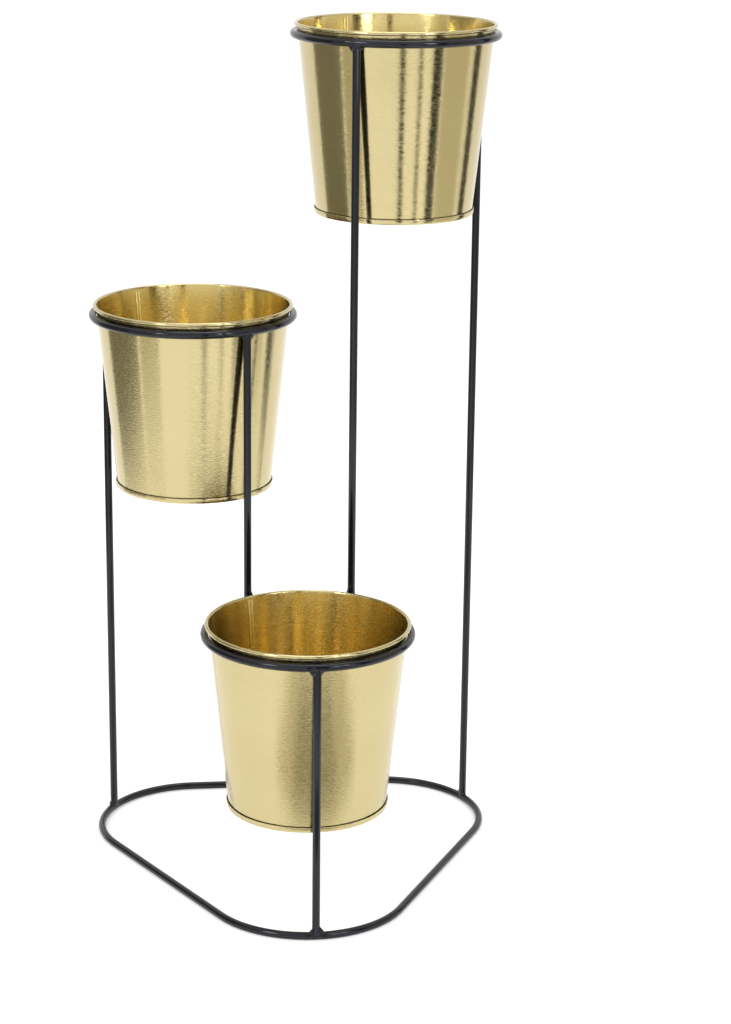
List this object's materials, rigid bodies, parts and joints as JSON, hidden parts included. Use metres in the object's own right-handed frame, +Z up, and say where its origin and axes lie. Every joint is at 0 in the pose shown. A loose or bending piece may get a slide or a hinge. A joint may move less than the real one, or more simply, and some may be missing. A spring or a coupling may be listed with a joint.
{
  "type": "plant stand",
  "caption": "Tiered plant stand: a welded black wire frame whose round holders carry tapered brass-coloured metal pots at rising heights.",
  "frame": {"origin": "middle of the whole outline, on the floor", "axes": "+Z up, -Y towards the low pot at the front, +X towards the tallest pot's side"},
  "size_m": [0.265, 0.2538, 0.5458],
  "materials": {
    "black_powder_coat": "satin black powder coat on round steel wire",
    "brushed_brass": "brushed brass-coloured sheet, satin, with fine short streaks round the pot"
  },
  "bodies": {
    "stand": {"base_loop": "black_powder_coat", "low_ring": "black_powder_coat", "middle_ring": "black_powder_coat", "top_ring": "black_powder_coat", "front_post": "black_powder_coat", "left_post": "black_powder_coat", "right_post": "black_powder_coat", "middle_link_post": "black_powder_coat", "top_link_post": "black_powder_coat", "base_welds": "black_powder_coat", "low_ring_welds": "black_powder_coat", "middle_ring_welds": "black_powder_coat", "top_ring_welds": "black_powder_coat"},
    "low_pot": {"low_pot_wall": "brushed_brass", "low_pot_floor": "brushed_brass"},
    "middle_pot": {"middle_pot_wall": "brushed_brass", "middle_pot_floor": "brushed_brass"},
    "top_pot": {"top_pot_wall": "brushed_brass", "top_pot_floor": "brushed_brass"}
  },
  "joints": [
    {"name": "low_pot_lift", "type": "slide", "parent": "stand", "child": "low_pot", "axis": [0, 0, 1], "range_m": [0, 0.125]},
    {"name": "middle_pot_lift", "type": "slide", "parent": "stand", "child": "middle_pot", "axis": [0, 0, 1], "range_m": [0, 0.125]},
    {"name": "top_pot_lift", "type": "slide", "parent": "stand", "child": "top_pot", "axis": [0, 0, 1], "range_m": [0, 0.125]}
  ]
}
